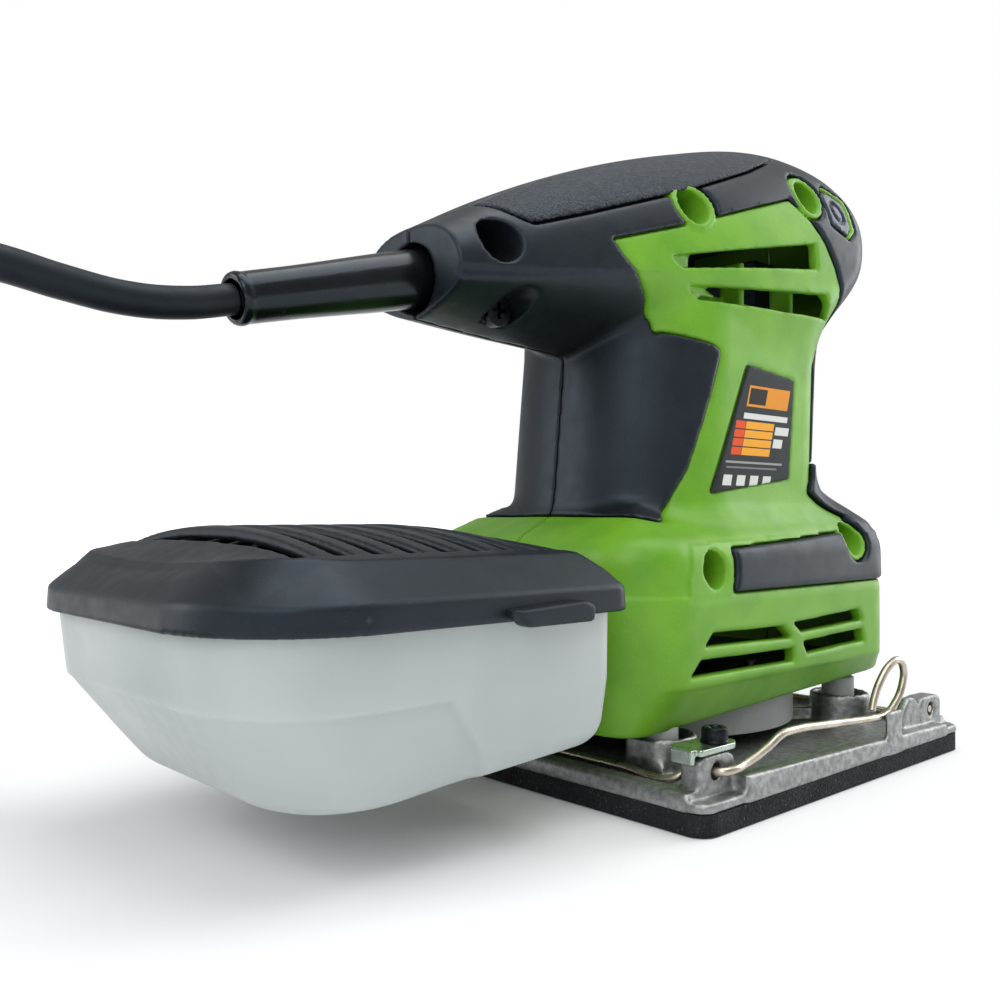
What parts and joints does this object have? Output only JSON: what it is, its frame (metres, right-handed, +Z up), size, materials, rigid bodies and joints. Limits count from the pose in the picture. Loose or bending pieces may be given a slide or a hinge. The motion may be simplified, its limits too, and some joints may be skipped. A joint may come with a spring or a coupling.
{
  "type": "orbital palm sander",
  "caption": "Palm-held orbital sander with a square clamp-on sanding plate, round neck and head, rear dust box and mains lead.",
  "frame": {"origin": "centre of the foam pad's underside", "axes": "+X towards the switch end, +Y to the left, +Z up along the motor's axis"},
  "size_m": [0.3534, 0.1412, 0.1592],
  "materials": {
    "green_plastic": "fine spark-eroded texture",
    "black_plastic": "fine satin texture",
    "grip_rubber": "leather-grained soft grip",
    "black_rubber": "soft matte",
    "label": "printed foil",
    "black_steel": "black oxide",
    "relief_rubber": "glossy",
    "cord_rubber": "satin",
    "steel": "bright zinc",
    "capacitor_case": "moulded",
    "lamination": "stacked sheets",
    "copper": "varnished wire",
    "brass": "bright",
    "carbon": "pressed carbon",
    "bearing_steel": "ground",
    "post_plastic": "moulded",
    "skirt_rubber": "moulded",
    "commutator_copper": "turned",
    "zinc_casting": "cast",
    "cast_aluminium": "as cast",
    "foam": "closed cell",
    "zinc_steel": "zinc plated",
    "clamp_wire": "nickel plated spring wire",
    "button_plastic": "satin",
    "box_plastic": "milky translucent",
    "filter_paper": "felt",
    "tie_plastic": "moulded",
    "pin_nickel": "nickel plated"
  },
  "bodies": {
    "housing": {"right_housing": "green_plastic", "left_housing": "green_plastic", "right_cover": "black_plastic", "left_cover": "black_plastic", "grip_pad": "grip_rubber", "bumper": "black_rubber", "rating_label": "label", "housing_screws": "black_steel", "strain_relief": "relief_rubber", "inner_lead": "cord_rubber", "cord_clamp": "black_plastic", "cord_clamp_screws": "steel", "switch_body": "black_plastic", "capacitor": "capacitor_case", "field_core": "lamination", "field_coils": "copper", "brush_holders": "brass", "carbon_brushes": "carbon", "brush_springs": "steel", "upper_bearing": "bearing_steel", "lower_bearing": "bearing_steel", "base_plate": "black_plastic", "base_plate_screws": "steel", "flexible_posts": "post_plastic", "post_screws": "steel", "dust_skirt": "skirt_rubber", "dust_spout": "black_plastic", "cord_lead": "cord_rubber", "cord_coil": "cord_rubber", "cord_tie": "tie_plastic", "mains_plug": "cord_rubber", "plug_pins": "pin_nickel"},
    "rotor": {"armature_shaft": "steel", "armature_core": "lamination", "armature_windings": "copper", "commutator": "commutator_copper", "cooling_fan": "black_plastic", "counterweight": "zinc_casting", "bearing_screw": "black_steel"},
    "plate": {"sanding_plate": "cast_aluminium", "foam_pad": "foam", "eccentric_bearing": "bearing_steel", "clamp_plates": "zinc_steel", "clamp_screws": "black_steel"},
    "rear_clamp": {"rear_clamp_wire": "clamp_wire"},
    "front_clamp": {"front_clamp_wire": "clamp_wire"},
    "switch": {"switch_slider": "button_plastic"},
    "dust_box": {"dust_box": "box_plastic", "port_seal": "black_rubber"},
    "dust_box_lid": {"dust_box_lid": "black_plastic", "filter_sheet": "filter_paper", "box_latch": "black_plastic"}
  },
  "joints": [
    {"name": "rotor_spin", "type": "hinge", "parent": "housing", "child": "rotor", "pos_m": [0, 0, 0.05], "axis": [0, 0, 1], "continuous": true},
    {"name": "plate_orbit", "type": "hinge", "parent": "rotor", "child": "plate", "pos_m": [0.0008, 0, 0.01], "axis": [0, 0, 1], "continuous": true},
    {"name": "rear_clamp_lift", "type": "hinge", "parent": "plate", "child": "rear_clamp", "pos_m": [-0.046, 0, 0.0106], "axis": [0, -1, 0], "range_deg": [0, 45]},
    {"name": "front_clamp_lift", "type": "hinge", "parent": "plate", "child": "front_clamp", "pos_m": [0.046, 0, 0.0106], "axis": [0, 1, 0], "range_deg": [0, 45]},
    {"name": "switch_push", "type": "slide", "parent": "housing", "child": "switch", "axis": [0, -1, 0], "range_m": [0, 0.003]},
    {"name": "dust_box_slide", "type": "slide", "parent": "housing", "child": "dust_box", "axis": [-1, 0, 0], "range_m": [0, 0.022]},
    {"name": "lid_lift", "type": "slide", "parent": "dust_box", "child": "dust_box_lid", "axis": [0, 0, 1], "range_m": [0, 0.012]}
  ],
  "couplings": [
    {"joint": "plate_orbit", "follows": "rotor_spin", "ratio": -1}
  ]
}
